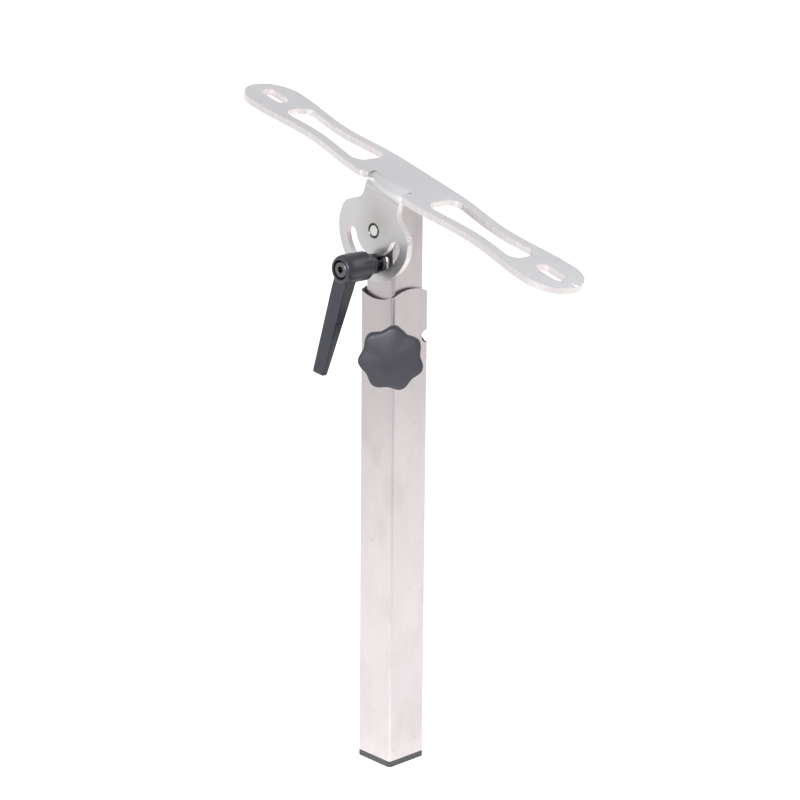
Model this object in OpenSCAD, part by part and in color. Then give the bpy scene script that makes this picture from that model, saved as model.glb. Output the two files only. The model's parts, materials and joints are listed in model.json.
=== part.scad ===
// Telescoping square post with a clamped, tilting head plate.
// Millimetres. +Z runs up the post and the origin is the middle of the foot's underside.
// The head plate's long side lies along X at zero tilt, and its flange stands on the -Y side.

/* [Post] */
// Outside width of the lower square tube
outer_w = 30; // [28:0.5:32]
// Height of the lower tube's four corners above the floor
outer_top = 309; // [250:1:320]
// Outside width of the sliding square tube
inner_w = 25; // [24.6:0.1:25.4]
// Wall of both tubes
wall = 2; // [1.8:0.1:2.2]
// Height of the black foot below the lower tube
foot_h = 4; // [3:0.5:6]
// Height of the sliding tube's lower end
inner_bottom = 32; // [32:1:60]

/* [Head plate] */
// Height of the tilt pivot
pivot_z = 349; // [346:1:380]
// Tilt of the plate at rest, with the +X end down
tilt = 17; // [-40:1:60]
// Height of the plate's top face over the pivot
plate_rise = 32; // [31:0.5:36]
// Thickness of the bent sheet
sheet = 4; // [3.5:0.25:4]
// Distance of each end lobe's centre from the middle
lobe_x = 126.5; // [124:0.5:150]
// Radius of the end lobes and of the wide middle
lobe_r = 20.5; // [19:0.5:22]
// How much narrower each side is at the waists
waist_in = 5; // [2:0.5:6]
// Width of the rails beside the long slots
rail_w = 7.5; // [7:0.5:9]
// Length and width of the slot in each end lobe
end_slot = [21.5, 10]; // [6:0.5:24]

/* [Flange] */
// Radius of the round flange that carries the arc slot
disc_r = 31.5; // [30.5:0.5:34]
// Width of the neck between the plate and the flange
neck_w = 31; // [28:1:33]
// Radius of the arc slot's centre line, which is the clamp stud's distance below the pivot
arc_r = 20.5; // [20:0.5:21.5]
// Width of the arc slot
arc_w = 9; // [8.6:0.1:10]
// First and last angle of the arc slot's centre line, in the plate's own frame
arc_span = [-150, -7]; // [-160:1:0]

/* [Clamp lever] */
// Angle of the arm from +X, seen from the front
lever_angle = -97; // [-110:1:-90]
// Length of the arm from the stud's axis
lever_len = 65; // [60:1:75]
// Diameter of both clamp threads
stud_d = 8; // [8:8]

/* [Knob] */
// Height of the knob's axis
knob_z = 281; // [260:1:284]
// Radius of the knob over its lobes
knob_r = 20; // [18:0.5:20]
// Number of lobes
knob_lobes = 7; // [5:1:9]
// Distance of the knob's front face from the post's axis
knob_front = 64; // [60:1:66]

/* [Hidden] */

$fn = 64;
eps = 0.5;             // how far a cutter runs past a face
run_gap = 0.05;        // radial clearance of a running fit
loose_gap = 0.3;       // radial clearance of a loose washer
outer_in = outer_w - 2 * wall;
inner_in = inner_w - 2 * wall;
outer_corner_r = 2;
inner_corner_r = 1.5;
bore_corner_r = 0.8;
steel = [0.80, 0.79, 0.78];
dark = [0.27, 0.28, 0.31];
black = [0.10, 0.10, 0.11];
zinc = [0.86, 0.87, 0.88];

// Crown of the lower tube: front and back dip, the two sides rise
dip = 3;
crown = 3.7;
spare_hole_d = 8.6;

// Ribbed plugs: how much slimmer the stub is than its tube, and the ribs on it
stub_in = 3;
rib_t = 1.2;
rib_pitch = 4;
rib_press = 0.1;

// Faces along the pivot's axis, as distances in front of the post's axis
flange_front = 18;
flange_back = flange_front - sheet;
tube_front = inner_w / 2;
spacer_t = flange_back - tube_front - 0.2;
friction_t = 0.6;
rear_washer_t = 1.5;
rear_washer_r = 8.5;
rear_head_t = 3.5;
rear_head_r = 7;
rear_head_cone = 2;
spacer_r = 9;
nut_t = 6.5;
nut_r = 7.5;               // over the hexagon's corners
stud_spacer_r = 7;
friction_r = 5.5;
pin_recess = 0.1;
pin_nose = 1.3;
pin_nose_r = 3.25;
countersink = 0.7;
pin_d = 8;
plate_bottom = plate_rise - sheet;
inner_top = pivot_z + 19;
cap_t = 2;
bend_r = 8;
bend_y = bend_r - flange_front;
bend_z = plate_rise - bend_r;
relief_w = 1.2;             // gap between the plate and each side of the bend
relief_r = 4;
slot_x = [31.2, 106.5];
end_slot_x = lobe_x + 1;
slot_corner_r = 7;

// Stations along the clamp lever's axis, measured out from the flange's front face
washer_a = [0.5, 1.1];
washer_r = 6.2;
insert_a = [1.2, 16.8];
teeth_len = 2;
teeth_n = 18;
teeth_gap = 0.1;
hub_a = [1.5, 27.6];
neck_a = [4.6, 8.4];        // from the neck's end to the full hub
shoulder_a = [17, 18.5];
head_a = [24.2, 27.1];
stud_a = [-17, 11];
insert_r = 5;
teeth_r = [4.4, 4.8];
screw_d = 5;
screw_head_r = 5;
socket_r = 2.3;            // over the hexagon's corners
socket_depth = 2.2;
spring_r = 4;
spring_wire = 0.8;
spring_turns = 3.5;

// Stations along the knob's axis, measured out from the post's axis
shoe_s = [15, 22];
boss_s = [16, 32];
stud_s = [22.2, knob_front - 6];
hub_s = 38;
head_t = 10;
head_s = knob_front - head_t;
insert_s = [hub_s - 0.1, knob_front - 5.5];
knob_phase = 19.5;
lobe_depth = 1.4;           // half the height of a lobe over its valleys
bush_r = 6;
boss_r = 8;
shoe_gap = 0.25;

// Points on an arc from angle a0 to a1 in n steps
function arc(c, r, a0, a1, n) = [for (i = [0:n]) let (a = a0 + (a1 - a0) * i / n) c + r * [cos(a), sin(a)]];

// Outline of a square with rounded corners
function round_square(w, r, n = 6) =
    let (k = w / 2 - r)
    concat(arc([k, k], r, 0, 90, n), arc([-k, k], r, 90, 180, n),
           arc([-k, -k], r, 180, 270, n), arc([k, -k], r, 270, 360, n));

// Arc that rounds corner b between its neighbours a and c
function corner(a, b, c, r, n = 8) =
    let (u = (a - b) / norm(a - b), v = (c - b) / norm(c - b))
    let (half = acos(u * v) / 2)
    let (m = b + (u + v) / norm(u + v) * r / sin(half))
    let (p = b + u * r / tan(half) - m, q = b + v * r / tan(half) - m)
    let (a0 = atan2(p.y, p.x), sweep = (atan2(q.y, q.x) - a0 + 540) % 360 - 180)
    arc(m, r, a0, a0 + sweep, n);

// Outline of a slot with round ends, along X
function slot_outline(size) =
    let (r = size.y / 2, k = size.x / 2 - size.y / 2)
    concat(arc([k, 0], r, -90, 90, 16), arc([-k, 0], r, 90, 270, 16));

// Half width of the head plate, which swells at the middle and at both ends
function half_width(x) =
    let (t = max(0, min(1, (abs(x) - 25) / 100)))
    lobe_r - waist_in / 2 + waist_in / 2 * cos(360 * t);

// Points along one long edge of the plate, from x0 to x1, pulled in by inset
function edge(x0, x1, inset, n) =
    [for (i = [0:n]) let (x = x0 + (x1 - x0) * i / n) [x, half_width(x) - inset]];

function mirror_y(points) = [for (i = [len(points) - 1:-1:0]) [points[i].x, -points[i].y]];

// Plate outline, with the sheet's -Y edge cut back where the bend leaves it
function plate_outline() =
    let (x0 = neck_w / 2 + relief_w, r = relief_r, first = lobe_x - 3)
    let (back = edge(first, -first, 0, 100), front = edge(first, x0 + r + 2, 0, 40))
    let (left = [for (p = mirror_y(front)) [-p.x, p.y]])
    concat(arc([lobe_x, 0], lobe_r, 0, 90, 18), back, arc([-lobe_x, 0], lobe_r, 90, 270, 36),
           [for (i = [len(left) - 1:-1:0]) left[i]],
           arc([-x0 - r, r - half_width(x0 + r)], r, 270, 360, 8), [[-x0, bend_y], [x0, bend_y]],
           arc([x0 + r, r - half_width(x0 + r)], r, 180, 270, 8), mirror_y(front),
           arc([lobe_x, 0], lobe_r, -90, -5, 17));

function long_slot_outline() =
    let (r = slot_corner_r, a = slot_x[0] + r, b = slot_x[1] - r)
    let (top = concat(arc([b, half_width(b) - rail_w - r], r, 0, 90, 10),
                      edge(b - 2, a + 2, rail_w, 28),
                      arc([a, half_width(a) - rail_w - r], r, 90, 180, 10)))
    concat(top, mirror_y(top));

// Right half of the flange, from the top of the neck to the lowest point
function flange_half() =
    let (n = neck_w / 2, neck = [n, bend_z], inner = [n, 16.5], shoulder = [30, 7])
    let (side = disc_r * [cos(-6), sin(-6)])
    concat([neck], corner(neck, inner, shoulder, 7), corner(inner, shoulder, side, 8),
           arc([0, 0], disc_r, -6, -90, 28));

function flange_outline() =
    let (half = flange_half())
    concat(half, [for (i = [len(half) - 2:-1:0]) [-half[i].x, half[i].y]]);

function arc_slot_outline() =
    let (r = arc_w / 2, a = arc_span[0], b = arc_span[1])
    concat(arc([0, 0], arc_r + r, a, b, 48), arc(arc_r * [cos(b), sin(b)], r, b, b + 180, 14),
           arc([0, 0], arc_r - r, b, a, 48), arc(arc_r * [cos(a), sin(a)], r, a + 180, a + 360, 14));

// Shallow teeth that key the lever to its insert
function teeth_outline(radii) =
    [for (i = [0:4 * teeth_n - 1]) let (a = 90 * i / teeth_n) radii[i % 4 < 2 ? 0 : 1] * [cos(a), sin(a)]];

function knob_outline(r) =
    [for (i = [0:167]) let (a = 360 * i / 168)
        (r - lobe_depth + lobe_depth * cos(knob_lobes * (a - knob_phase))) * [cos(a), sin(a)]];

module square_tube(w, hole_w, r, hole_r, h) {
    difference() {
        linear_extrude(h) polygon(round_square(w, r));
        translate([0, 0, -eps]) linear_extrude(h + 2 * eps) polygon(round_square(hole_w, hole_r));
    }
}

// Frame along the knob's axis, out of the (+X, -Y) corner
module on_knob_axis() {
    translate([0, 0, knob_z]) rotate([0, 0, -45]) rotate([0, 90, 0]) children();
}

// Frame at the pivot, tilted with the head plate
module on_head() {
    translate([0, 0, pivot_z]) rotate([0, tilt, 0]) children();
}

// Frame along a front-facing axis: local Z points to -Y, local Y points up
module facing_front(y, z) {
    translate([0, y, z]) rotate([90, 0, 0]) children();
}

// Frame of the clamp lever, on the flange's front face
module on_lever() {
    facing_front(-flange_front, pivot_z - arc_r) children();
}

module ring(r_out, r_in, h) {
    difference() {
        cylinder(r = r_out, h = h);
        translate([0, 0, -eps]) cylinder(r = r_in, h = h + 2 * eps);
    }
}

// Lower tube, with its wavy top edge, the knob's hole and the spare hole in the next corner
module outer_tube() {
    height = outer_top + crown - foot_h;
    rise_r = (pow(outer_w / 2, 2) + crown * crown) / (2 * crown);
    dip_r = (pow(outer_in / 2, 2) + dip * dip) / (2 * dip);
    color(steel) difference() {
        translate([0, 0, foot_h])
            square_tube(outer_w, outer_in, outer_corner_r, bore_corner_r, height);
        for (side = [-1, 1]) {
            // front and back walls are cut flat, then dipped
            translate([-outer_in / 2, side * outer_w / 2 - 1.5 * wall, outer_top])
                cube([outer_in, 3 * wall, 2 * crown]);
            // side walls keep the part below a wide arc
            translate([side * (outer_w / 2 - wall / 2), 0, outer_top]) rotate([0, 90, 0]) difference() {
                translate([-2 * crown, -outer_w, -2 * wall]) cube([2 * crown, 2 * outer_w, 4 * wall]);
                translate([rise_r - crown, 0, -3 * wall]) cylinder(r = rise_r, h = 6 * wall, $fn = 128);
            }
        }
        translate([0, outer_w, outer_top - dip + dip_r]) rotate([90, 0, 0])
            intersection() {
                cylinder(r = dip_r, h = 2 * outer_w, $fn = 128);
                translate([-outer_in / 2, -dip_r - eps, 0]) cube([outer_in, dip_r, 2 * outer_w]);
            }
        on_knob_axis() cylinder(d = stud_d + 2 * run_gap, h = outer_w);
        translate([0, 0, knob_z]) rotate([0, 0, 45]) rotate([0, 90, 0]) cylinder(d = spare_hole_d, h = outer_w);
    }
}

// Plastic plug under the lower tube: a 30 mm foot with a ribbed stub
module foot_plug() {
    stub = outer_in - stub_in;
    color(black) union() {
        linear_extrude(foot_h) polygon(round_square(outer_w, outer_corner_r));
        translate([0, 0, foot_h - eps]) linear_extrude(16) polygon(round_square(stub, 1));
        for (i = [0:2])
            translate([0, 0, foot_h + 3 + rib_pitch * i])
                linear_extrude(rib_t) polygon(round_square(outer_in - rib_press, bore_corner_r));
    }
}

// Threaded sleeve welded over the knob's corner
module clamp_boss() {
    color(steel) difference() {
        on_knob_axis() translate([0, 0, boss_s[0]]) ring(boss_r, stud_d / 2 + run_gap, boss_s[1] - boss_s[0]);
        translate([0, 0, knob_z - outer_w])
            linear_extrude(2 * outer_w) polygon(round_square(outer_w, outer_corner_r));
    }
}

// Brass pad between the knob's stud and the sliding tube's corner
module corner_shoe() {
    color([0.75, 0.62, 0.30]) difference() {
        on_knob_axis() translate([0, 0, shoe_s[0]]) cylinder(d = stud_d - 0.1, h = shoe_s[1] - shoe_s[0]);
        translate([0, 0, knob_z - outer_w])
            linear_extrude(2 * outer_w) polygon(round_square(inner_w + 2 * shoe_gap, inner_corner_r));
    }
}

module knob_stud() {
    color(zinc) on_knob_axis() translate([0, 0, stud_s[0]]) union() {
        cylinder(d1 = stud_d - 2, d2 = stud_d, h = 1);
        translate([0, 0, 1]) cylinder(d = stud_d, h = stud_s[1] - stud_s[0] - 1);
    }
}

// Threaded bush moulded into the knob
module knob_insert() {
    color(zinc) on_knob_axis() translate([0, 0, insert_s[0]]) difference() {
        cylinder(r = bush_r, h = insert_s[1] - insert_s[0]);
        translate([0, 0, -eps]) cylinder(d = stud_d, h = stud_s[1] - insert_s[0] + eps);
    }
}

// Lobed knob with a tapered hub behind it; each layer's outline is smaller towards the two faces
module knob_head() {
    layers = [[0, 2.4], [1, 1], [2.5, 0], [6, 0.6], [8, 1.6], [9.2, 3.2], [head_t, 3.2]];
    color(dark) on_knob_axis() difference() {
        union() {
            translate([0, 0, hub_s]) cylinder(r1 = 8.5, r2 = 11, h = head_s - hub_s + eps);
            for (i = [0:len(layers) - 2])
                translate([0, 0, head_s + layers[i][0]]) linear_extrude(layers[i + 1][0] - layers[i][0])
                    polygon(knob_outline(knob_r - layers[i][1]));
        }
        translate([0, 0, insert_s[0] - eps]) cylinder(r = bush_r, h = insert_s[1] - insert_s[0] + eps);
    }
}

// Sliding tube, drilled for the pivot pin through both walls and for the clamp stud in front
module inner_tube() {
    color(steel) difference() {
        translate([0, 0, inner_bottom])
            square_tube(inner_w, inner_in, inner_corner_r, bore_corner_r, inner_top - inner_bottom);
        facing_front(inner_w, pivot_z) cylinder(d = pin_d, h = 2 * inner_w);
        facing_front(0, pivot_z - arc_r) cylinder(d = stud_d + 2 * run_gap, h = inner_w);
    }
}

module tube_plug(face_w, face_t) {
    union() {
        linear_extrude(face_t) polygon(round_square(face_w, inner_corner_r));
        translate([0, 0, face_t - eps]) linear_extrude(10) polygon(round_square(inner_in - stub_in, 1));
        for (i = [0:1])
            translate([0, 0, face_t + 2.5 + rib_pitch * i])
                linear_extrude(rib_t) polygon(round_square(inner_in - rib_press, bore_corner_r));
    }
}

// Guide plug at the sliding tube's lower end
module mast_foot_plug() {
    color(black) translate([0, 0, inner_bottom - cap_t]) tube_plug(inner_w + 0.4, cap_t);
}

module mast_top_cap() {
    color(black) translate([0, 0, inner_top + cap_t]) mirror([0, 0, 1]) tube_plug(inner_w, cap_t);
}

// Headed pin through the sliding tube; its stepped nose ends in the flange's countersink
module pivot_pin() {
    rear = inner_w / 2 + rear_washer_t;
    front = flange_front - pin_recess;
    color(zinc) facing_front(0, pivot_z) union() {
        translate([0, 0, -rear]) cylinder(d = pin_d, h = rear + front - pin_nose);
        translate([0, 0, front - pin_nose - eps]) cylinder(r = pin_nose_r, h = pin_nose + eps);
        translate([0, 0, -rear - rear_head_t])
            cylinder(r1 = rear_head_r - 2.5, r2 = rear_head_r, h = rear_head_cone);
        translate([0, 0, -rear - rear_head_t + rear_head_cone])
            cylinder(r = rear_head_r, h = rear_head_t - rear_head_cone);
    }
}

module pivot_spacer() {
    color(zinc) facing_front(-tube_front, pivot_z) ring(spacer_r, pin_d / 2, spacer_t);
}

module pivot_rear_washer() {
    color(zinc) facing_front(inner_w / 2 + rear_washer_t, pivot_z) ring(rear_washer_r, pin_d / 2, rear_washer_t);
}

// Hexagon nut welded inside the sliding tube, which takes the clamp stud
module clamp_nut() {
    color(steel) facing_front(wall - tube_front + nut_t, pivot_z - arc_r) difference() {
        cylinder(r = nut_r, h = nut_t, $fn = 6);
        translate([0, 0, -eps]) cylinder(d = stud_d + 2 * run_gap, h = nut_t + 2 * eps);
    }
}

// Bright washer round the clamp stud, seen through the arc slot, with a smaller black one on it
module stud_spacer() {
    color(zinc) facing_front(-tube_front, pivot_z - arc_r)
        ring(stud_spacer_r, stud_d / 2 + loose_gap, spacer_t - friction_t);
}

module friction_washer() {
    front = tube_front + spacer_t - friction_t;
    color(black) facing_front(-front, pivot_z - arc_r) ring(friction_r, stud_d / 2 + loose_gap, friction_t);
}

// Head plate, bend and flange, folded from one sheet
module head_bracket() {
    color(steel) on_head() difference() {
        union() {
            translate([0, 0, plate_bottom]) linear_extrude(sheet) polygon(plate_outline());
            translate([-neck_w / 2, bend_y, bend_z]) rotate([0, 90, 0]) rotate([0, 0, 180])
                rotate_extrude(angle = 90) translate([bend_r - sheet, 0]) square([sheet, neck_w]);
            facing_front(-flange_back, 0) linear_extrude(sheet) polygon(flange_outline());
        }
        for (side = [-1, 1]) {
            translate([0, 0, plate_bottom - eps]) linear_extrude(sheet + 2 * eps)
                scale([side, 1]) polygon(long_slot_outline());
            translate([side * end_slot_x, 0, plate_bottom - eps]) linear_extrude(sheet + 2 * eps)
                polygon(slot_outline(end_slot));
        }
        facing_front(0, 0) cylinder(d = pin_d + 2 * run_gap, h = 2 * flange_front);
        facing_front(countersink - flange_front, 0)
            cylinder(d1 = pin_d, d2 = pin_d + 4 * countersink, h = 2 * countersink);
        facing_front(0, 0) linear_extrude(2 * flange_front) polygon(arc_slot_outline());
    }
}

module clamp_washer() {
    color(black) on_lever() translate([0, 0, washer_a[0]])
        ring(washer_r, stud_d / 2 + loose_gap, washer_a[1] - washer_a[0]);
}

module clamp_stud() {
    color(black) on_lever() translate([0, 0, stud_a[0]]) union() {
        cylinder(d1 = stud_d - 1.5, d2 = stud_d, h = 1);
        translate([0, 0, 1]) cylinder(d = stud_d, h = stud_a[1] - stud_a[0] - 1);
    }
}

// Steel insert: a plain shank with short teeth at its outer end
module lever_insert() {
    shank = insert_a[1] - teeth_len;
    color(black) on_lever() difference() {
        union() {
            translate([0, 0, insert_a[0]]) cylinder(r = insert_r, h = shank - insert_a[0]);
            translate([0, 0, shank]) linear_extrude(teeth_len)
                polygon(teeth_outline(teeth_r));
        }
        translate([0, 0, -eps]) cylinder(d = stud_d, h = stud_a[1] + eps);
        translate([0, 0, stud_a[1] + 2]) cylinder(d = screw_d, h = insert_a[1]);
    }
}

// Hexagon socket screw that keeps the lever on its insert
module lever_screw() {
    color(dark) on_lever() difference() {
        union() {
            translate([0, 0, stud_a[1] + 2.5]) cylinder(d = screw_d, h = head_a[0] - stud_a[1] - 2.5 + eps);
            translate([0, 0, head_a[0]]) cylinder(r = screw_head_r, h = head_a[1] - head_a[0] - 0.5);
            translate([0, 0, head_a[1] - 0.5]) cylinder(r1 = screw_head_r, r2 = screw_head_r - 0.4, h = 0.5);
        }
        translate([0, 0, head_a[1] - socket_depth]) cylinder(r = socket_r, h = 3, $fn = 6);
    }
}

// Coil spring between the screw's head and the lever's shoulder
module lever_spring() {
    sides = 8;
    per_turn = 20;
    steps = spring_turns * per_turn;
    low = shoulder_a[1] + spring_wire / 2 + 0.1;
    rise = head_a[0] - spring_wire / 2 - 0.1 - low;
    points = [for (i = [0:steps]) let (a = 360 * i / per_turn, z = low + rise * i / steps)
        for (j = [0:sides - 1]) let (b = 360 * j / sides, r = spring_r + spring_wire / 2 * cos(b))
            [r * cos(a), r * sin(a), z + spring_wire / 2 * sin(b)]];
    skin = [for (i = [0:steps - 1]) for (j = [0:sides - 1]) let (k = (j + 1) % sides)
        [i * sides + j, (i + 1) * sides + j, (i + 1) * sides + k, i * sides + k]];
    first = [for (j = [0:sides - 1]) j];
    last = [for (j = [sides - 1:-1:0]) steps * sides + j];
    color(zinc) on_lever() polyhedron(points, concat([first], skin, [last]));
}

// Outside of the lever's hub, as radius and station
function hub_profile() =
    let (neck = 6.4, body = 8.9, face = 6.8)
    concat([[0, hub_a[0]]], [[neck - 0.5, hub_a[0]], [neck, hub_a[0] + 0.5]],
           [for (i = [0:8]) [neck + (body - neck) * (1 - cos(180 * i / 8)) / 2,
                             neck_a[0] + (neck_a[1] - neck_a[0]) * i / 8]],
           [for (i = [0:8]) [face + (body - face) * cos(90 * i / 8), hub_a[1] - 5 + 5 * sin(90 * i / 8)]],
           [[0, hub_a[1]]]);

// Side view of the arm, as distance from the stud's axis and station
function arm_profile() = [[0, 16], [7, 17.1], [lever_len, 34.9], [lever_len, 38.6], [7, 26.6], [0, 25]];

// Lever arm and hub, bored for the insert, the spring and the screw
module lever_handle() {
    half = 5;
    root = 6.4;              // the arm flares to one side towards the hub
    tip = 1.5;
    socket = insert_a[1] - teeth_len + teeth_gap;
    color(dark) on_lever() difference() {
        union() {
            rotate_extrude() polygon(hub_profile());
            rotate([0, 0, lever_angle]) intersection() {
                translate([0, root, 0]) rotate([90, 0, 0]) linear_extrude(2 * root) polygon(arm_profile());
                linear_extrude(50)
                    polygon(concat([[0, -root]], arc([lever_len - tip, tip - half], tip, -90, 0, 6),
                                   arc([lever_len - tip, half - tip], tip, 0, 90, 6), [[0, half]]));
            }
        }
        translate([0, 0, shoulder_a[1]]) cylinder(r = 6, h = 30);
        translate([0, 0, shoulder_a[0] - eps]) cylinder(r = 3, h = 3);
        translate([0, 0, socket]) linear_extrude(shoulder_a[0] - socket)
            polygon(teeth_outline(teeth_r + [teeth_gap, teeth_gap]));
        cylinder(r = insert_r + run_gap, h = socket);
    }
}

outer_tube();
foot_plug();
clamp_boss();
corner_shoe();
knob_stud();
knob_insert();
knob_head();
inner_tube();
mast_foot_plug();
mast_top_cap();
pivot_pin();
pivot_spacer();
pivot_rear_washer();
clamp_nut();
stud_spacer();
friction_washer();
head_bracket();
clamp_washer();
clamp_stud();
lever_insert();
lever_screw();
lever_spring();
lever_handle();
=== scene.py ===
import json
import math

import bmesh
import bpy
from mathutils import Matrix, Vector


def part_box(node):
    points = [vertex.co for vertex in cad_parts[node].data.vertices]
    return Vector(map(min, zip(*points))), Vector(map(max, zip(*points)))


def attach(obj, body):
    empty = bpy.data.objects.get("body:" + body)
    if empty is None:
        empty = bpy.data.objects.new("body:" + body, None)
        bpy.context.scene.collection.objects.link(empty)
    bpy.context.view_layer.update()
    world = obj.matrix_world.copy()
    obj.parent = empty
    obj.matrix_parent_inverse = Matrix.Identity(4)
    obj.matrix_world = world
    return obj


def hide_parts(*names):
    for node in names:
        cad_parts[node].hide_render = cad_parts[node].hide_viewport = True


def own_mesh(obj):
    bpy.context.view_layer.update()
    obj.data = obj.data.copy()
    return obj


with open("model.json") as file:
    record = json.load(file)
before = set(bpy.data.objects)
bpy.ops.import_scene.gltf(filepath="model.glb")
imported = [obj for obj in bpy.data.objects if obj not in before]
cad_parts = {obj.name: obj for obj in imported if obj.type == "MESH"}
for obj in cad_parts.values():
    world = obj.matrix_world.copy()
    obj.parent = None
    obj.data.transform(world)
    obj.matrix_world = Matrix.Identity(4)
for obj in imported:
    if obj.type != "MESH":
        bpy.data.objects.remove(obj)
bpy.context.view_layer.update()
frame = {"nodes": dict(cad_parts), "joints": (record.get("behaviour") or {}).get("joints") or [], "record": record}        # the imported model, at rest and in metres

MM = 0.001
UP = Vector((0, 0, 1))
FRONT = Vector((0, -1, 0))


def named(rows, name):
    return next(row for row in rows if row["name"] == name)


def joint(name):
    return named(frame["joints"], name)


# ---------------------------------------------------------------- driving places and sizes

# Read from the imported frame
PIVOT = Vector(joint("head_tilt")["pos_m"])
STUD = Vector(joint("lever_turn")["pos_m"])
KNOB_AT = Vector(joint("knob_turn")["pos_m"])
KNOB_DIR = Vector(joint("knob_turn")["axis"])
FLANGE_FRONT = STUD.y + 2 * MM          # the lever's joint stands 2 mm in front of the flange
PLATE_NORMAL = Vector(named(frame["record"]["mounts"], "plate_face")["axis"])
PLATE_ALONG = Vector((PLATE_NORMAL.z, 0, -PLATE_NORMAL.x))
TILT = math.atan2(PLATE_NORMAL.x, PLATE_NORMAL.z)

# Knob, in mm and degrees; its front and its hub's back are measured from the post's axis
KNOB_RADIUS, KNOB_THICK, KNOB_FRONT, KNOB_HUB_BACK = 20.0, 10.0, 64.0, 38.0
KNOB_LOBES, KNOB_PHASE, KNOB_DEPTH = 7, -70.5, 1.4
KNOB_RIM, KNOB_DOME, KNOB_BACK_ROUND = 2.6, 2.0, 2.8

# Lever, in mm
LEVER_ANGLE = math.radians(-97)
LEVER_LENGTH = 65.0
LEVER_VOXEL = 0.32

# Coarse M8 thread, in mm
THREAD_RADIUS, THREAD_PITCH, THREAD_CHAMFER = 4.0, 1.25, 1.0

# Weld bead round the knob's boss, and the round of the tube's corner under it, in mm
BOSS_RADIUS, BEAD_RADIUS, TUBE_CORNER = 8.0, 1.1, 2.0

# Camera
CAMERA_TARGET = Vector((0.0029, 0.0027, 0.2392))
CAMERA_DISTANCE = 1.5125
CAMERA_AZIMUTH, CAMERA_ELEVATION, CAMERA_ROLL = (math.radians(a) for a in (46.544, 15.407, 0.545))
CAMERA_LENS, CAMERA_SENSOR = 109.08, 36.0

# Lights: place, target, size, watts, colour and spread in degrees
LIGHTS = {
    "front_box": ((0.75, -1.6, 1.0), (0, 0, 0.28), (1.0, 0.8), 3.4, (0.96, 0.97, 1.0), 60),
    "left_box": ((-0.8, -1.25, 0.95), (0, 0, 0.3), (1.1, 0.8), 0.15, (0.98, 0.98, 1.0), 70),
    "back_box": ((0.0, 1.2, 1.6), (0, 0, 0.3), (0.30, 0.30), 2.5, (0.88, 0.94, 1.0), 180),
}

# Floor, in metres: LEFT_FADE and RIGHT_FADE say how grey it is by the distance to each side of the object
LEFT_FADE = ((0.0, 0.95), (0.06, 0.76), (0.25, 0.82), (0.40, 0.83), (0.54, 0.76), (0.69, 0.73),
             (0.77, 0.57), (0.84, 0.58), (0.95, 0.56), (1.05, 0.30), (1.17, 0.29), (1.32, 0.53),
             (1.50, 0.58))
RIGHT_FADE = ((0.0, 0.95), (0.06, 0.74), (0.25, 0.81), (0.40, 0.77), (0.54, 0.82), (0.66, 0.98),
              (0.76, 0.60), (0.84, 0.50), (0.95, 0.60), (1.05, 0.64), (1.25, 0.54))
FADE_REACH = 1.5
SIDE_DEPTH = (0.35, 1.1)        # over which the greys at the sides fade out, to the front and to the back
FRONT_FADE = (0.25, 0.9)        # where the floor in front turns from white to FLOOR_FRONT
FLOOR_FRONT = (0.31, 0.295, 0.29)
WHITE_SLOPE = 0.45              # how fast the white part widens behind the object
FLOOR_GLOW = 0.62
FLOOR_RADIUS = 12

# World: colours from straight down to straight up
WORLD_STOPS = ((0.0, (0.62, 0.61, 0.61)), (0.55, (0.66, 0.655, 0.655)), (0.75, (0.70, 0.70, 0.71)),
               (1.0, (0.86, 0.87, 0.89)))


# ---------------------------------------------------------------- node helpers

def set_stops(ramp, stops):
    """Sets a color ramp node's stops, each a (position, colour) pair."""
    elements = ramp.color_ramp.elements
    while len(elements) < len(stops):
        elements.new(1.0)
    for element, (position, color) in zip(elements, stops):
        element.position, element.color = position, (*color, 1)


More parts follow.
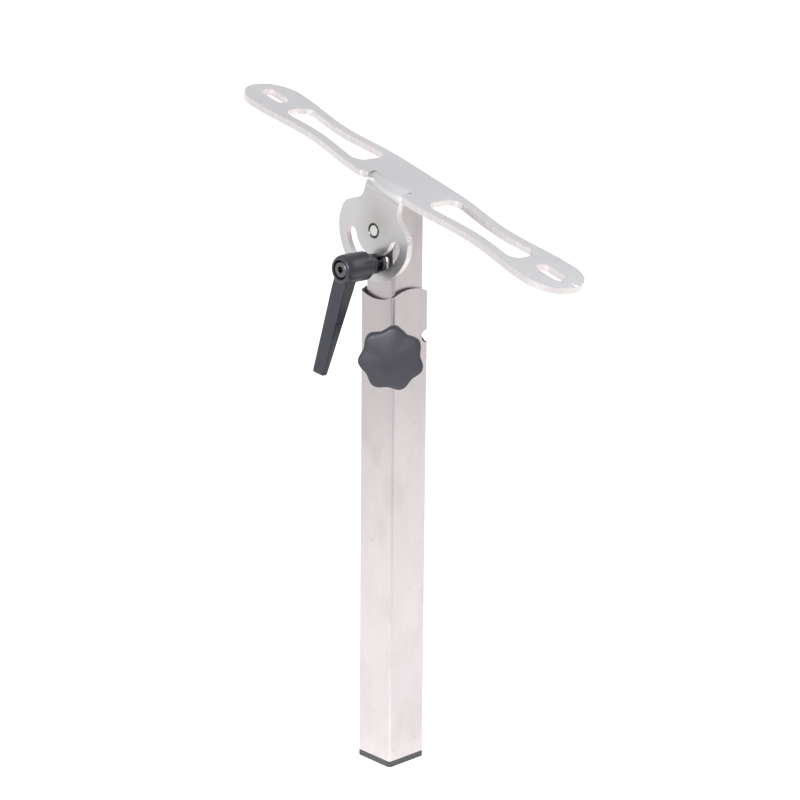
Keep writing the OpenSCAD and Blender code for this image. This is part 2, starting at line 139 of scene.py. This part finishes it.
class Shader:
    """A material's node tree with short ways to add and join nodes."""

    def __init__(self, name):
        self.material = bpy.data.materials.new(name)
        self.material.use_nodes = True
        self.tree = self.material.node_tree
        self.bsdf = next(n for n in self.tree.nodes if n.type == "BSDF_PRINCIPLED")

    def add(self, kind, **settings):
        node = self.tree.nodes.new(kind)
        for key, value in settings.items():
            setattr(node, key, value)
        return node

    def link(self, out, into):
        self.tree.links.new(out, into)

    def put(self, **values):
        """Constants on the shader's own sockets, such as put(Metallic=1)."""
        for key, value in values.items():
            self.bsdf.inputs[key.replace("_", " ")].default_value = value

    def normal(self):
        return self.add("ShaderNodeTexCoord").outputs["Normal"]

    def coords(self, scale=(1, 1, 1), turn=(0, 0, 0)):
        where = self.add("ShaderNodeTexCoord")
        mapping = self.add("ShaderNodeMapping")
        mapping.inputs["Scale"].default_value = scale
        mapping.inputs["Rotation"].default_value = turn
        self.link(where.outputs["Object"], mapping.inputs["Vector"])
        return mapping.outputs["Vector"]

    def noise(self, vector, scale, detail=3.0, roughness=0.5):
        node = self.add("ShaderNodeTexNoise")
        node.inputs["Scale"].default_value = scale
        node.inputs["Detail"].default_value = detail
        node.inputs["Roughness"].default_value = roughness
        self.link(vector, node.inputs["Vector"])
        return node.outputs["Fac"]

    def span(self, value, low, high, start=0.3, end=0.7):
        """value mapped from start..end to low..high, clamped."""
        node = self.add("ShaderNodeMapRange")
        for key, number in (("From Min", start), ("From Max", end), ("To Min", low), ("To Max", high)):
            node.inputs[key].default_value = number
        self.link(value, node.inputs["Value"])
        return node.outputs["Result"]

    def math(self, operation, a, b=0.0):
        node = self.add("ShaderNodeMath", operation=operation)
        for slot, value in zip(node.inputs, (a, b)):
            if isinstance(value, (int, float)):
                slot.default_value = value
            else:
                self.link(value, slot)
        return node.outputs[0]

    def mix(self, amount, a, b, blend="MIX"):
        node = self.add("ShaderNodeMix", data_type="RGBA", blend_type=blend)
        self.link(amount, node.inputs["Factor"])
        for slot, value in ((node.inputs["A"], a), (node.inputs["B"], b)):
            if isinstance(value, tuple):
                slot.default_value = (*value, 1)
            else:
                self.link(value, slot)
        return node.outputs["Result"]

    def ramp(self, value, stops):
        node = self.add("ShaderNodeValToRGB")
        set_stops(node, stops)
        self.link(value, node.inputs["Fac"])
        return node.outputs["Color"]

    def vector(self, operation, a, b=(0, 0, 0)):
        """The outputs of vector maths on a and a constant b."""
        node = self.add("ShaderNodeVectorMath", operation=operation)
        self.link(a, node.inputs[0])
        node.inputs[1].default_value = b
        return node.outputs

    def dot(self, vector, axis):
        return self.vector("DOT_PRODUCT", vector, axis)["Value"]

    def from_point(self, point):
        """Distance of the surface from a point."""
        return self.vector("DISTANCE", self.coords(), point)["Value"]

    def from_axis(self, point):
        """Distance of the surface from the line through a point that runs along Y."""
        offset = self.vector("SUBTRACT", self.coords(), point)["Vector"]
        return self.vector("LENGTH", self.vector("MULTIPLY", offset, (1, 0, 1))["Vector"])["Value"]

    def color(self, value):
        self.link(value, self.bsdf.inputs["Base Color"])

    def roughness(self, value):
        self.link(value, self.bsdf.inputs["Roughness"])

    def bump(self, height, distance, strength):
        node = self.add("ShaderNodeBump")
        node.inputs["Strength"].default_value = strength
        node.inputs["Distance"].default_value = distance
        self.link(height, node.inputs["Height"])
        self.link(node.outputs["Normal"], self.bsdf.inputs["Normal"])


# ---------------------------------------------------------------- materials

def tube_steel():
    """Satin stainless tube: fine lengthwise grain, wide streaks, soft patches, a few small stains, and sawn
    ends painted dark as the shade in the gap between the tubes.
    """
    m = Shader("tube_steel")
    grain = m.noise(m.coords((1, 1, 0.018)), 2600, detail=4, roughness=0.7)
    streak = m.noise(m.coords((1, 1, 0.05)), 160)
    cloud = m.noise(m.coords((1, 1, 0.5)), 22, detail=4)
    tint = m.noise(m.coords((1, 1, 0.35)), 75)
    patch = m.noise(m.coords((1, 1, 0.6)), 52)
    stain = m.noise(m.coords(), 240, detail=2)
    base = m.mix(m.span(cloud, 0, 1), (0.650, 0.618, 0.622), (0.725, 0.683, 0.700))
    base = m.mix(m.span(streak, 0, 0.35), base, (0.750, 0.714, 0.727))
    base = m.mix(m.span(tint, 0, 0.5, 0.45, 0.65), base, (0.745, 0.677, 0.684))
    base = m.mix(m.span(patch, 0, 0.55, 0.52, 0.68), base, (0.595, 0.577, 0.555))
    base = m.mix(m.span(stain, 0, 0.35, 0.69, 0.80), base, (0.40, 0.37, 0.34))
    end = m.span(m.math("ABSOLUTE", m.dot(m.normal(), UP)), 0, 1, 0.3, 0.55)     # 1 on the sawn ends, which get painted shade: the dark of the gap between the tubes
    m.color(m.mix(end, base, (0.045, 0.038, 0.035)))
    m.link(m.math("SUBTRACT", 1.0, end), m.bsdf.inputs["Metallic"])
    m.roughness(m.math("ADD", m.span(grain, 0.27, 0.36), m.math("MULTIPLY", end, 0.35)))
    m.bump(grain, 0.012 * MM, 0.6)
    return m.material


def cut_edges(m):
    """1 on the sheet's cut edges; 0 on the plate, on the flange and on the bend between them."""
    plate_starts = (26.5 * MM, 27.5 * MM)     # how high over the pivot, along the plate's normal
    neck_ends = (16 * MM, 16.5 * MM)          # how far to each side of the pivot
    place, normal = m.coords(), m.normal()
    rise = m.math("SUBTRACT", m.dot(place, PLATE_NORMAL), PIVOT.dot(PLATE_NORMAL))
    along = m.math("SUBTRACT", m.dot(place, PLATE_ALONG), PIVOT.dot(PLATE_ALONG))
    flange = m.math("MAXIMUM", m.span(rise, 1, 0, *plate_starts),
                    m.span(m.math("ABSOLUTE", along), 1, 0, *neck_ends))
    broad = m.math("POWER", m.math("ABSOLUTE", m.dot(normal, PLATE_NORMAL)), 2.0)
    front = m.math("POWER", m.math("ABSOLUTE", m.dot(normal, FRONT)), 2.0)
    return m.span(m.math("ADD", broad, m.math("MULTIPLY", front, flange)), 1, 0, 0.35, 0.75)


def head_steel():
    """Sheet steel with a fine matt mill finish, laser-cut edges that are brighter and ribbed, a painted
    reflection of the dark lever beside the pivot, and painted shade round the pin.
    """
    m = Shader("head_steel")
    m.put(Metallic=1.0)
    turn = (0, TILT, 0)
    grain = m.noise(m.coords((0.08, 1, 1), turn), 2200, detail=4, roughness=0.65)
    mottle = m.noise(m.coords((1, 1, 1), turn), 900, roughness=0.6)
    cloud = m.noise(m.coords((0.6, 1, 1), turn), 30, detail=4)
    ribs = m.noise(m.coords((1, 1, 0.04), turn), 1500, detail=2)
    cut = cut_edges(m)

    face = m.mix(m.span(cloud, 0, 1), (0.775, 0.768, 0.775), (0.84, 0.833, 0.84))
    face = m.mix(m.span(mottle, 0, 0.25), face, (0.68, 0.68, 0.69))
    from_lever_reflection = m.from_point(PIVOT + Vector((5, -16, 6)) * MM)     # painted reflection of the dark lever: a darker, cloudy patch beside the pivot
    from_lever_reflection = m.math("ADD", from_lever_reflection, m.span(cloud, -4 * MM, 4 * MM, 0.2, 0.8))
    face = m.mix(m.span(from_lever_reflection, 0.75, 0, 3 * MM, 24 * MM), face, (0.56, 0.55, 0.54))
    side = m.mix(m.span(ribs, 0, 1), (0.80, 0.765, 0.76), (0.90, 0.865, 0.86))
    pin_recess_shade = m.span(m.from_axis(PIVOT), 1, 0, 4.75 * MM, 5.0 * MM)     # painted shade in the countersink round the riveted pin
    m.color(m.mix(pin_recess_shade, m.mix(cut, face, side), (0.16, 0.155, 0.15)))

    m.roughness(m.math("ADD", m.span(mottle, 0.28, 0.37), m.math("MULTIPLY", cut, 0.20)))
    height = m.math("ADD", m.math("MULTIPLY", mottle, 0.6), m.math("MULTIPLY", grain, 0.5))
    height = m.math("ADD", height, m.math("MULTIPLY", m.math("MULTIPLY", ribs, cut), 1.5))
    m.bump(height, 0.018 * MM, 0.6)
    return m.material


def metal(name, cloud, mark, colors, rough, worn=(0.3, 0.7), shade=None):
    """Metal with cloudy colour and fine marks; cloud and mark are each a noise's (scale, detail).

    shade is (point, clear, full, colour): painted shade, whose colour sets in between two distances from the
    line through the point that runs along Y.
    """
    m = Shader(name)
    m.put(Metallic=1.0)
    marks = m.noise(m.coords(), *mark)
    color = m.mix(m.span(m.noise(m.coords(), *cloud), 0, 1, *worn), *colors)
    if shade:
        point, clear, full, tone = shade
        color = m.mix(m.span(m.from_axis(point), 0, 1, clear, full), color, tone)
    m.color(color)
    m.roughness(m.span(marks, *rough))
    m.bump(marks, 0.01 * MM, 0.5)
    return m.material


def zinc_steel(name="zinc_plate", shade=None):
    """Bright zinc plate with faint turning marks."""
    return metal(name, (150, 3), (1400, 3), ((0.86, 0.88, 0.87), (0.95, 0.96, 0.95)), (0.20, 0.32),
                 shade=shade)


def pin_steel():
    """The pivot pin's zinc plate, with painted shade that darkens the groove round its nose."""
    return zinc_steel("pin_steel", (PIVOT, 3.3 * MM, 3.4 * MM, (0.05, 0.05, 0.05)))


def black_steel():
    """Black-oxide steel, slightly oily, rubbed brighter in places."""
    return metal("black_oxide", (420, 4), (2600, 2), ((0.020, 0.021, 0.028), (0.085, 0.085, 0.095)),
                 (0.28, 0.42), worn=(0.45, 0.75))


def screw_steel():
    """Dark grey socket screw with a half-bright head, and painted shade that makes the inside of its socket
    black.
    """
    return metal("screw_steel", (500, 4), (3000, 2), ((0.15, 0.15, 0.155), (0.25, 0.25, 0.255)),
                 (0.26, 0.38), shade=(STUD, 2.2 * MM, 2.0 * MM, (0.015, 0.015, 0.017)))


def turned_brass():
    return metal("turned_brass", (200, 3), (1800, 3), ((0.66, 0.50, 0.22), (0.80, 0.64, 0.33)), (0.25, 0.38))


def moulded(name, dark, light, rough, texture_scale, depth, sheen=0.5, face=None):
    """Moulded or coated surface: fine pebbled texture, with slow changes of colour and gloss.

    Where a face direction is given, the sides that turn away from it get painted shade: a darker copy of the
    colour.
    """
    m = Shader(name)
    pebble = m.noise(m.coords(), texture_scale, roughness=0.55)
    cloud = m.noise(m.coords(), 70)
    color = m.mix(m.math("ADD", m.span(cloud, 0, 0.7), m.span(pebble, 0, 0.3)), dark, light)
    m.roughness(m.math("ADD", m.span(pebble, rough - 0.04, rough + 0.06), m.span(cloud, -0.03, 0.03)))
    m.put(IOR=1.52, Specular_IOR_Level=sheen)
    if face:
        # painted shade: the sides that turn away from the face direction are darker
        side = m.span(m.math("ABSOLUTE", m.dot(m.normal(), face)), 1, 0, 0.60, 0.94)
        color = m.mix(side, color, tuple(0.75 * c for c in dark))
    m.color(color)
    m.bump(pebble, depth, 0.7)
    return m.material


def plug_plastic():
    return moulded("plug_plastic", (0.050, 0.048, 0.055), (0.078, 0.076, 0.085), 0.42, 2400, 0.02 * MM)


def lever_coating():
    return moulded("lever_coating", (0.028, 0.030, 0.039), (0.041, 0.044, 0.056), 0.31, 2600, 0.03 * MM,
                   sheen=0.55, face=FRONT)


def knob_plastic():
    return moulded("knob_plastic", (0.042, 0.0415, 0.051), (0.061, 0.0595, 0.074), 0.42, 2600, 0.03 * MM,
                   sheen=0.4, face=KNOB_DIR)


# ---------------------------------------------------------------- camera, floor and light

def camera_axes():
    """The camera's right, up and back vectors before its small roll."""
    a, e = CAMERA_AZIMUTH, CAMERA_ELEVATION
    back = Vector((math.sin(a) * math.cos(e), -math.cos(a) * math.cos(e), math.sin(e)))
    right = Vector((math.cos(a), math.sin(a), 0))
    return right, back.cross(right), back


def make_camera():
    right, up, back = camera_axes()
    c, s = math.cos(CAMERA_ROLL), math.sin(CAMERA_ROLL)
    turn = Matrix((c * right + s * up, c * up - s * right, back)).transposed().to_4x4()
    data = bpy.data.cameras.new("camera")
    data.lens, data.sensor_width = CAMERA_LENS, CAMERA_SENSOR
    data.clip_start, data.clip_end = 0.05, 50
    camera = bpy.data.objects.new("camera", data)
    camera.matrix_world = Matrix.Translation(CAMERA_TARGET + CAMERA_DISTANCE * back) @ turn
    bpy.context.scene.collection.objects.link(camera)
    bpy.context.scene.camera = camera


def area_light(name, place, target, size, power, color, spread):
    data = bpy.data.lights.new(name, "AREA")
    data.shape, data.size, data.size_y = "RECTANGLE", size[0], size[1]
    data.energy, data.color, data.spread = power, color, math.radians(spread)
    light = bpy.data.objects.new(name, data)
    light.location = place
    light.rotation_euler = (Vector(target) - Vector(place)).to_track_quat("-Z", "Y").to_euler()
    bpy.context.scene.collection.objects.link(light)


def floor_paper():
    """Pale paper: white round the object and behind it, greyer at its sides and in front."""
    m = Shader("floor_paper")
    right, _, back = camera_axes()
    where = m.coords()
    aside = m.dot(where, right)
    depth = m.dot(where, Vector((back.x, back.y, 0)).normalized())     # more than 0 in front of the object
    widening = m.math("MAXIMUM", m.math("MULTIPLY", depth, -WHITE_SLOPE), 0.0)
    beside = m.span(m.math("ABSOLUTE", depth), 1, 0, *SIDE_DEPTH)
    paper = m.mix(m.span(depth, 0, 1, *FRONT_FADE), (1, 1, 1), FLOOR_FRONT)
    for side, fade in ((-1.0, LEFT_FADE), (1.0, RIGHT_FADE)):
        distance = m.math("SUBTRACT", m.math("MULTIPLY", aside, side), widening)
        stops = [(reach / FADE_REACH, (grey, grey * 0.99, grey * 0.98)) for reach, grey in fade]
        paper = m.mix(beside, paper, m.ramp(m.math("DIVIDE", distance, FADE_REACH), stops), "MULTIPLY")
    fibre = m.noise(where, 350, detail=2)
    paper = m.mix(m.span(fibre, 0, 0.04), paper, (0.75, 0.75, 0.75))
    m.color(paper)
    m.link(paper, m.bsdf.inputs["Emission Color"])
    m.put(Roughness=0.9, Emission_Strength=FLOOR_GLOW)
    return m.material


def make_floor():
    bm = bmesh.new()
    bmesh.ops.create_circle(bm, cap_ends=True, segments=128, radius=FLOOR_RADIUS)
    mesh = bpy.data.meshes.new("floor")
    bm.to_mesh(mesh)
    bm.free()
    floor = bpy.data.objects.new("floor", mesh)
    mesh.materials.append(floor_paper())
    bpy.context.scene.collection.objects.link(floor)


def make_world():
    world = bpy.data.worlds.new("studio")
    world.use_nodes = True
    tree = world.node_tree
    where = tree.nodes.new("ShaderNodeTexCoord")
    split = tree.nodes.new("ShaderNodeSeparateXYZ")
    height = tree.nodes.new("ShaderNodeMapRange")
    height.inputs["From Min"].default_value = -1.0
    ramp = tree.nodes.new("ShaderNodeValToRGB")
    set_stops(ramp, WORLD_STOPS)
    tree.links.new(where.outputs["Generated"], split.inputs[0])
    tree.links.new(split.outputs["Z"], height.inputs["Value"])
    tree.links.new(height.outputs["Result"], ramp.inputs["Fac"])
    tree.links.new(ramp.outputs["Color"], tree.nodes["Background"].inputs["Color"])
    bpy.context.scene.world = world


# ---------------------------------------------------------------- mesh helpers

def new_piece(name, bm, body, replaced, material, smooth_angle):
    """A finished mesh piece that rides on a body, and stands for a CAD node if one is named."""
    bmesh.ops.recalc_face_normals(bm, faces=bm.faces)
    mesh = bpy.data.meshes.new(name)
    bm.to_mesh(mesh)
    bm.free()
    mesh.polygons.foreach_set("use_smooth", [True] * len(mesh.polygons))
    mesh.set_sharp_from_angle(angle=math.radians(smooth_angle))
    mesh.materials.append(material)
    piece = bpy.data.objects.new(name, mesh)
    bpy.context.scene.collection.objects.link(piece)
    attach(piece, body)
    if replaced:
        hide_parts(replaced)


def bake_modifier(bm, kind, **settings):
    """bm with one modifier applied."""
    mesh = bpy.data.meshes.new("scratch")
    bm.to_mesh(mesh)
    bm.free()
    scratch = bpy.data.objects.new("scratch", mesh)
    bpy.context.scene.collection.objects.link(scratch)
    modifier = scratch.modifiers.new(kind.lower(), kind)
    for key, value in settings.items():
        setattr(modifier, key, value)
    evaluated = scratch.evaluated_get(bpy.context.evaluated_depsgraph_get())
    result = bmesh.new()
    result.from_mesh(evaluated.to_mesh())
    evaluated.to_mesh_clear()
    bpy.data.objects.remove(scratch)
    bpy.data.meshes.remove(mesh)
    return result


def axis_frame(origin, direction):
    """Frame whose local Z is direction and whose local Y is up."""
    z = direction.normalized()
    return Matrix.Translation(origin) @ Matrix((UP.cross(z), UP, z)).transposed().to_4x4()


def to_frame(bm, matrix):
    """Takes bm from its own millimetres to the row frame's metres."""
    bmesh.ops.transform(bm, matrix=matrix @ Matrix.Scale(MM, 4), verts=bm.verts)


def skin_rings(bm, rings, closed=False):
    """Faces between rings of vertices, with capped ends unless the last ring meets the first."""
    made = [[bm.verts.new(p) for p in ring] for ring in rings]
    pairs = list(zip(made, made[1:]))
    if closed:
        pairs.append((made[-1], made[0]))
    for low, high in pairs:
        for i in range(len(low)):
            j = (i + 1) % len(low)
            bm.faces.new((low[i], low[j], high[j], high[i]))
    if not closed:
        bm.faces.new(made[0][::-1])
        bm.faces.new(made[-1])


def full_turn(steps):
    """Angles of a whole turn in equal steps."""
    return [2 * math.pi * i / steps for i in range(steps)]


def revolve(profile, segments):
    """Closed solid from a closed profile of (radius, height) points."""
    bm = bmesh.new()
    rings = [[(r * math.cos(a), r * math.sin(a), h) for a in full_turn(segments)] for r, h in profile]
    skin_rings(bm, rings, closed=True)
    return bm


def arc(center, radius, start, end, steps):
    """Points (x, y) on an arc, with its angles in degrees."""
    angles = [math.radians(start + (end - start) * i / steps) for i in range(steps + 1)]
    return [(center[0] + radius * math.cos(a), center[1] + radius * math.sin(a)) for a in angles]


# ---------------------------------------------------------------- pieces

def finish_cad(node, material, edge):
    """A CAD node with its sharp edges broken by edge mm, as deburred metal or moulded plastic has them."""
    piece = frame["nodes"][node]
    piece.data.materials.clear()
    piece.data.materials.append(material)
    weld = piece.modifiers.new("weld", "WELD")
    weld.merge_threshold = 0.002 * MM
    if edge:
        bevel = piece.modifiers.new("edge", "BEVEL")
        bevel.width = edge * MM
        bevel.segments = 2
        bevel.limit_method = "ANGLE"
        bevel.angle_limit = math.radians(35)
        bevel.harden_normals = True
    return piece


def make_spring(material):
    """The lever's spring: the finished CAD node, given a mesh of its own."""
    spring = finish_cad("lever_spring", material, 0)
    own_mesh(spring)


def knob_ring(height, radius, lobed):
    """One ring of the knob; lobed is its share of the lobes' full depth."""
    ring = []
    for a in full_turn(36 * KNOB_LOBES):
        wave = math.cos(KNOB_LOBES * (a - math.radians(KNOB_PHASE)))
        r = radius - lobed * KNOB_DEPTH * (1 - wave)
        ring.append((r * math.cos(a), r * math.sin(a), height))
    return ring


def make_knob(material):
    """Seven-lobed knob: domed face, well-rounded rim, and a back that is hollow between rim and hub."""
    back, dome_foot = KNOB_FRONT - KNOB_THICK, KNOB_FRONT - KNOB_DOME
    round_foot, rim_foot = KNOB_RADIUS - KNOB_BACK_ROUND, KNOB_RADIUS - KNOB_RIM
    dome_radius = KNOB_RADIUS - 0.75 * KNOB_RIM
    # Along the hub and through the hollow: height, radius and share of the lobes
    stations = [(KNOB_HUB_BACK, 6.1, 0), (KNOB_HUB_BACK, 8.0, 0), (KNOB_HUB_BACK + 0.5, 8.6, 0),
                (back - 3.0, 9.6, 0), (back - 1.2, 10.4, 0.1), (back + 0.2, 11.6, 0.2),
                (back + 1.6, 13.2, 0.4), (back + 2.0, 14.4, 0.6), (back + 1.9, 15.4, 0.9),
                (back + 1.2, 16.6, 1), (back + 0.1, 17.1, 1)]
    # Round the back edge, up the side, round the rim and over the dome
    stations += [(back + KNOB_BACK_ROUND - y, round_foot + x, 1)
                 for x, y in arc((0, 0), KNOB_BACK_ROUND, 90, 0, 8)]
    stations += [(back + 4.0, KNOB_RADIUS, 1), (back + 5.4, KNOB_RADIUS - 0.05, 0.95)]
    stations += [(dome_foot - KNOB_RIM + y, rim_foot + x, 0.88 - 0.08 * y)
                 for x, y in arc((0, 0), KNOB_RIM, 8, 74, 8)]
    stations += [(KNOB_FRONT - KNOB_DOME * out ** 2, dome_radius * out, 0.70 * out)
                 for out in (0.97, 0.92, 0.84, 0.72, 0.58, 0.40, 0.22, 0.08, 0.015)]
    bm = bmesh.new()
    skin_rings(bm, [knob_ring(*station) for station in stations])
    to_frame(bm, axis_frame(Vector((0, 0, KNOB_AT.z)), KNOB_DIR))
    new_piece("knob_moulding", bm, "knob", "knob_head", material, 50)


def lever_hub():
    """Hub with its bores: the insert's from behind, the screw's recess in front, a shoulder between.

    Its heights, like the arm's, are in mm from the flange's front.
    """
    back, front = 1.5, 27.6
    neck, body, face = 6.45, 9.0, 6.9                   # radii
    flare, flare_length, face_round = 4.6, 3.8, 5
    shoulder = (17.0, 18.5)
    insert_bore, screw_bore, recess = 5.05, 3.0, 6.0    # radii
    outside = [(neck - 0.5, back), (neck, back + 0.5)]
    for share in (i / 10 for i in range(11)):
        radius = neck + (body - neck) * (1 - math.cos(math.pi * share)) / 2
        outside.append((radius, flare + flare_length * share))
    outside += [(face + (body - face) * x, front - face_round + face_round * y)
                for x, y in arc((0, 0), 1, 0, 90, 12)]
    inside = [(recess, front), (recess, shoulder[1]), (screw_bore, shoulder[1]), (screw_bore, shoulder[0]),
              (insert_bore, shoulder[0]), (insert_bore, back)]
    return revolve(outside + inside, 128)


def lever_arm():
    """Tapering arm of rounded-rectangle section, from inside the hub's wall to its blunt end."""
    root, corner = 7, 1.0
    left_root, half = 6.6, 5.1
    under_root, under_rise = 17.1, 17.8
    top_root, top_rise = 26.6, 12.0
    # Distance from the stud's axis, and how much the section has shrunk there
    stops = ((6.3, 0), (8, 0), (14, 0), (24, 0), (36, 0), (50, 0),
             (LEVER_LENGTH - 1.2, 0), (LEVER_LENGTH - 0.35, 0.35), (LEVER_LENGTH, 1.2))
    rings = []
    for u, shrink in stops:
        share = (u - root) / (LEVER_LENGTH - root)
        low = under_root + under_rise * share + shrink * 0.6
        high = top_root + top_rise * share - shrink * 0.6
        left = shrink - left_root + (left_root - half) * u / LEVER_LENGTH
        right = half - shrink
        r = max(corner - 0.4 * shrink, 0.4)
        ring = []
        for cx, cy, start in ((right - r, high - r, 0), (left + r, high - r, 90), (left + r, low + r, 180),
                              (right - r, low + r, 270)):
            ring += [(u, x, y) for x, y in arc((cx, cy), r, start, start + 90, 5)]
        rings.append(ring)
    bm = bmesh.new()
    skin_rings(bm, rings)
    bmesh.ops.rotate(bm, verts=bm.verts, matrix=Matrix.Rotation(LEVER_ANGLE, 3, "Z"))
    return bm


def blend_root(bm, steps):
    """Relaxes the mesh where the arm meets the hub, so that they flow into each other."""
    middle, reach = 8.4, 3.2        # along the arm
    outside = 7.6                   # the hub's bores are left alone
    lowest, highest = 13, 29
    direction = Vector((math.cos(LEVER_ANGLE), math.sin(LEVER_ANGLE), 0))
    for _ in range(steps):
        moved = {}
        for v in bm.verts:
            weight = max(0.0, 1 - abs(v.co.dot(direction) - middle) / reach)
            if weight and math.hypot(v.co.x, v.co.y) > outside and lowest < v.co.z < highest:
                mean = sum((e.other_vert(v).co for e in v.link_edges), Vector()) / len(v.link_edges)
                moved[v] = v.co.lerp(mean, 0.5 * weight)
        for v, place in moved.items():
            v.co = place


def make_lever(material):
    """Clamping lever as one moulding: hub and arm joined, with a fillet between them."""
    both = bmesh.new()
    for bm in (lever_hub(), lever_arm()):
        bmesh.ops.recalc_face_normals(bm, faces=bm.faces)
        part = bpy.data.meshes.new("scratch_part")
        bm.to_mesh(part)
        bm.free()
        both.from_mesh(part)
        bpy.data.meshes.remove(part)
    solid = bake_modifier(both, "REMESH", mode="VOXEL", voxel_size=LEVER_VOXEL, use_smooth_shade=True)
    blend_root(solid, 24)
    solid = bake_modifier(solid, "SMOOTH", factor=0.5, iterations=3)
    to_frame(solid, axis_frame(Vector((STUD.x, FLANGE_FRONT, STUD.z)), FRONT))
    new_piece("lever_moulding", solid, "lever", "lever_handle", material, 75)


def thread_radius(z, share):
    """The thread's radius at height z and a share of a turn."""
    crest, flank, depth = 0.12, 0.70, 0.61 * THREAD_PITCH     # crest and flank are shares of half a pitch
    groove = 1 - abs(2 * ((z / THREAD_PITCH - share) % 1.0) - 1)
    return THREAD_RADIUS - depth * min(1.0, max(0.0, (groove - crest) / flank))


def make_thread(name, body, node, material, direction):
    """Coarse M8 thread over the length of a plain CAD stud, with chamfered ends."""
    per_turn, per_pitch = 48, 10
    low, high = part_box(node)
    # Half the stud's length, from its box: a slanting cylinder's box also takes in part of its radius
    axis = max(range(3), key=lambda i: abs(direction[i]))
    lean = math.sqrt(1 - direction[axis] ** 2)
    reach = ((high[axis] - low[axis]) / 2 / MM - THREAD_RADIUS * lean) / abs(direction[axis])
    steps = int(2 * reach / THREAD_PITCH * per_pitch)
    rings = []
    for k in range(steps + 1):
        z = -reach + 2 * reach * k / steps
        widest = THREAD_RADIUS - max(0.0, THREAD_CHAMFER - (reach - abs(z)))
        ring = []
        for i, a in enumerate(full_turn(per_turn)):
            r = min(thread_radius(z, i / per_turn), widest)
            ring.append((r * math.cos(a), r * math.sin(a), z))
        rings.append(ring)
    bm = bmesh.new()
    skin_rings(bm, rings)
    to_frame(bm, axis_frame((low + high) / 2, direction))
    new_piece(name, bm, body, node, material, 60)


def corner_skin(half_width, w):
    """How far out along the knob's axis the tube's skin lies, w mm to one side of its corner."""
    if abs(w) > TUBE_CORNER / math.sqrt(2):
        return half_width * math.sqrt(2) - abs(w)
    return (half_width - TUBE_CORNER) * math.sqrt(2) + math.sqrt(TUBE_CORNER ** 2 - w ** 2)


def make_weld_bead(material):
    """Rippled bead where the knob's boss meets the tube's corner."""
    count, ripples, ripple = 240, 30, 0.13
    side = UP.cross(KNOB_DIR)
    centre = Vector((0, 0, KNOB_AT.z / MM))
    half_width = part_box("outer_tube")[1].x / MM
    path = []
    for a in full_turn(count):
        outward = math.cos(a) * side + math.sin(a) * UP
        out = corner_skin(half_width, BOSS_RADIUS * math.cos(a))
        path.append((centre + out * KNOB_DIR + BOSS_RADIUS * outward, outward))
    rings = []
    for i, (place, outward) in enumerate(path):
        along = (path[(i + 1) % count][0] - path[i - 1][0]).normalized()
        across = along.cross(outward).normalized()
        size = BEAD_RADIUS * (1 + ripple * math.cos(2 * math.pi * i / count * ripples))
        rings.append([place + size * (math.cos(b) * outward + math.sin(b) * across) for b in full_turn(12)])
    bm = bmesh.new()
    skin_rings(bm, rings, closed=True)
    to_frame(bm, Matrix())
    new_piece("boss_weld", bm, "post", None, material, 80)


def build():
    tube, head, plastic, brass = tube_steel(), head_steel(), plug_plastic(), turned_brass()
    zinc, pin, black, screw = zinc_steel(), pin_steel(), black_steel(), screw_steel()
    for node, material, edge in (
            ("outer_tube", tube, 0.05), ("inner_tube", tube, 0.12), ("clamp_boss", tube, 0.4),
            ("foot_plug", plastic, 0.5), ("mast_foot_plug", plastic, 0.4), ("mast_top_cap", plastic, 0.5),
            ("head_bracket", head, 0.25), ("clamp_nut", tube, 0.3), ("pivot_pin", pin, 0.2),
            ("pivot_spacer", zinc, 0.15), ("pivot_rear_washer", zinc, 0.15), ("stud_spacer", zinc, 0.1),
            ("friction_washer", plastic, 0.1), ("clamp_washer", black, 0.15), ("lever_insert", black, 0),
            ("lever_screw", screw, 0.15), ("corner_shoe", brass, 0.1), ("knob_insert", zinc, 0.2)):
        finish_cad(node, material, edge)
    make_spring(zinc)
    make_knob(knob_plastic())
    make_lever(lever_coating())
    make_thread("knob_thread", "knob", "knob_stud", zinc, KNOB_DIR)
    make_thread("clamp_thread", "clamp_screw", "clamp_stud", black, FRONT)
    make_weld_bead(tube)


make_camera()
make_floor()
make_world()
for light, settings in LIGHTS.items():
    area_light(light, *settings)
build()
bpy.context.scene.view_settings.view_transform = "Standard"
